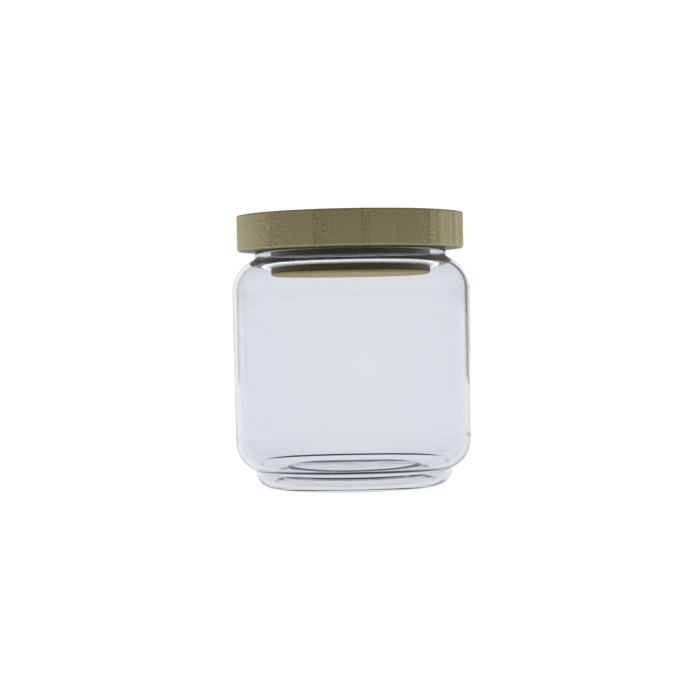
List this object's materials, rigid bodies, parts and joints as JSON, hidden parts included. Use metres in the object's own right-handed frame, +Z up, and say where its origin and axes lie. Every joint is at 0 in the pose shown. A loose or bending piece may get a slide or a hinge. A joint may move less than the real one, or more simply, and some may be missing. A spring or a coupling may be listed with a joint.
{
  "type": "lidded glass canister",
  "caption": "Round clear glass storage jar with a stepped foot and a press-in bamboo lid that carries a silicone seal.",
  "frame": {"origin": "centre of the foot's underside, on the surface that the canister stands on", "axes": "+Z up along the jar's axis, and the cap's grain runs along Y"},
  "size_m": [0.1, 0.1, 0.1137],
  "materials": {
    "glass": "clear gloss",
    "silicone": "translucent satin",
    "bamboo": "satin"
  },
  "bodies": {
    "jar": {"glass_jar": "glass"},
    "seal": {"seal_ring": "silicone"},
    "lid": {"cap_stave_1": "bamboo", "cap_stave_2": "bamboo", "cap_stave_3": "bamboo", "cap_stave_4": "bamboo", "cap_stave_5": "bamboo", "cap_stave_6": "bamboo", "plug": "bamboo"}
  },
  "joints": [
    {"name": "lid_lift", "type": "slide", "parent": "jar", "child": "seal", "axis": [0, 0, 1], "range_m": [0, 0.1]},
    {"name": "lid_turn", "type": "hinge", "parent": "seal", "child": "lid", "pos_m": [0, 0, 0.0936], "axis": [0, 0, 1], "continuous": true}
  ]
}
